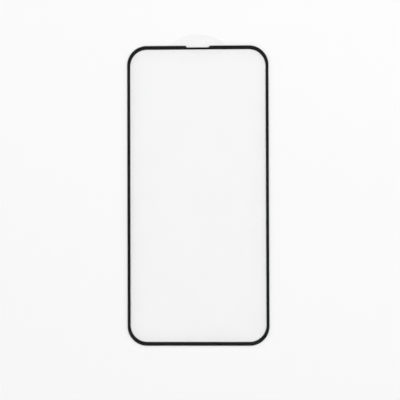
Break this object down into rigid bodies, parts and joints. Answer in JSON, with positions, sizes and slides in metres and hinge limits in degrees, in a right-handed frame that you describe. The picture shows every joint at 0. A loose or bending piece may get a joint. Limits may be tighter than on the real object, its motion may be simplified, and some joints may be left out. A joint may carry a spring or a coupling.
{
  "type": "phone screen protector",
  "caption": "Full-cover tempered-glass phone screen protector with a black printed border, a speaker notch and a ground rim, lying on its clear release liner with a pull tab.",
  "frame": {"origin": "under the middle of the glass outline, on the liner's underside", "axes": "+Z out of the touched face, +Y towards the speaker notch and the pull tab, +X to the right seen from above"},
  "size_m": [0.067, 0.1475, 0.0006],
  "materials": {
    "tempered_glass": "clear, polished, with a ground rim",
    "black_ink": "opaque screen print seen through the glass",
    "clear_adhesive": "clear, tacky",
    "clear_film": "clear film, smooth"
  },
  "bodies": {
    "root": {"glass_sheet": "tempered_glass", "border_print": "black_ink", "adhesive_layer": "clear_adhesive", "release_liner": "clear_film"}
  },
  "joints": []
}
